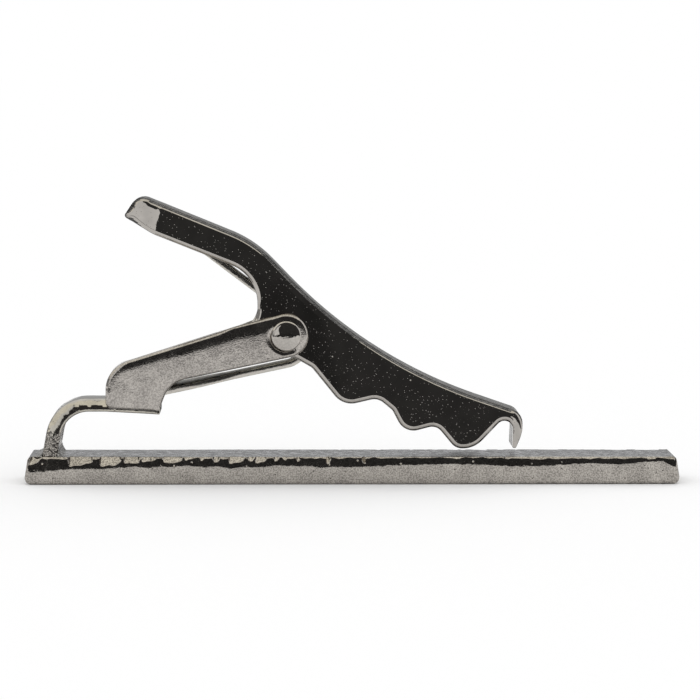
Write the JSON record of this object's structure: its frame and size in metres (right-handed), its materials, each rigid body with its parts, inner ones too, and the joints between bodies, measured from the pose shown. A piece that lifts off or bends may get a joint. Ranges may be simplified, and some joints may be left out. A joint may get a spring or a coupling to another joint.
{
  "type": "tie clip",
  "caption": "Tie bar with a sprung alligator clip: a pressed jaw lever with a thumb tab turns on a rivet in a stamped frame on a bent post.",
  "frame": {"origin": "centre of the bar's front face, which the clip lies on", "axes": "+X along the bar towards the jaw's hook, +Y across the bar, +Z from the bar's front face up to the clip"},
  "size_m": [0.055, 0.0064, 0.024],
  "materials": {
    "bar_plate": "polished black nickel plate over metal, fine grain and small pits",
    "lever_plate": "mirror-polished black nickel plate on stamped steel",
    "spring_steel": "plated spring strip",
    "solder": "plated over, smooth and slightly lumpy"
  },
  "bodies": {
    "clip_base": {"bar": "bar_plate", "post": "bar_plate", "foot_solder": "solder", "clip_frame": "bar_plate", "frame_solder": "solder", "leaf_spring": "spring_steel", "rivet": "bar_plate"},
    "jaw_lever": {"lever": "lever_plate"}
  },
  "joints": [
    {"name": "lever_pivot", "type": "hinge", "parent": "clip_base", "child": "jaw_lever", "pos_m": [-0.00559, 0, 0.0125], "axis": [0, -1, 0], "range_deg": [0, 44], "stiffness_Nm_per_rad": 0.04, "springref_deg": -51.57, "deforming": ["leaf_spring"]}
  ]
}
